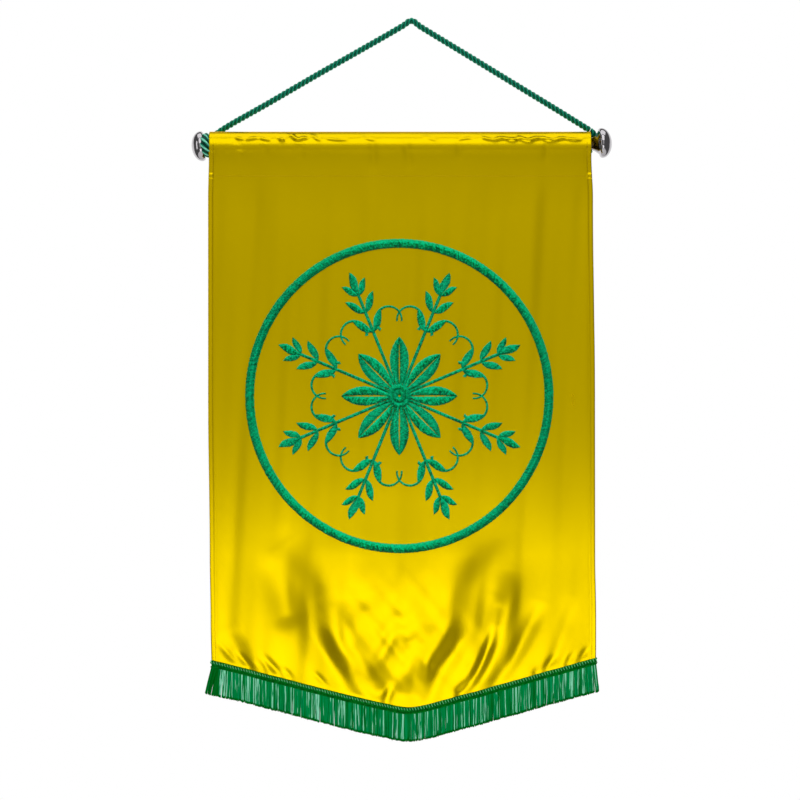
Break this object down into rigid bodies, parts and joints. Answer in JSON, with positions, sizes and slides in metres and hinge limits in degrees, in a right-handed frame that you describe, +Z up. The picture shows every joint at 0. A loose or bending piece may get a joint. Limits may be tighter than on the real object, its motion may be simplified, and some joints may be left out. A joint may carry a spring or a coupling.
{
  "type": "podium banner on its hanging rod",
  "caption": "Satin banner with a pointed fringed lower edge and an embroidered ring and rosette, on a knobbed rod that hangs from a twisted cord.",
  "frame": {"origin": "underside of the cord at the point where the hook carries it", "axes": "+Z up, +X to the banner's right hand as seen from the front, the embroidered front faces -Y"},
  "size_m": [0.4392, 0.0404, 0.7547],
  "materials": {
    "satin": "glossy satin",
    "fringe_yarn": "silky cut yarn",
    "cord_yarn": "twisted silky yarn",
    "embroidery_thread": "lustrous thread",
    "knob_chrome": "dark polished chrome",
    "rod_steel": "satin drawn tube"
  },
  "bodies": {
    "root": {"panel": "satin", "fringe": "fringe_yarn", "emblem_ring": "embroidery_thread", "emblem_rosette": "embroidery_thread", "rod": "rod_steel", "knob_left": "knob_chrome", "knob_right": "knob_chrome", "cord": "cord_yarn", "tie_left": "cord_yarn", "tie_right": "cord_yarn"}
  },
  "joints": []
}
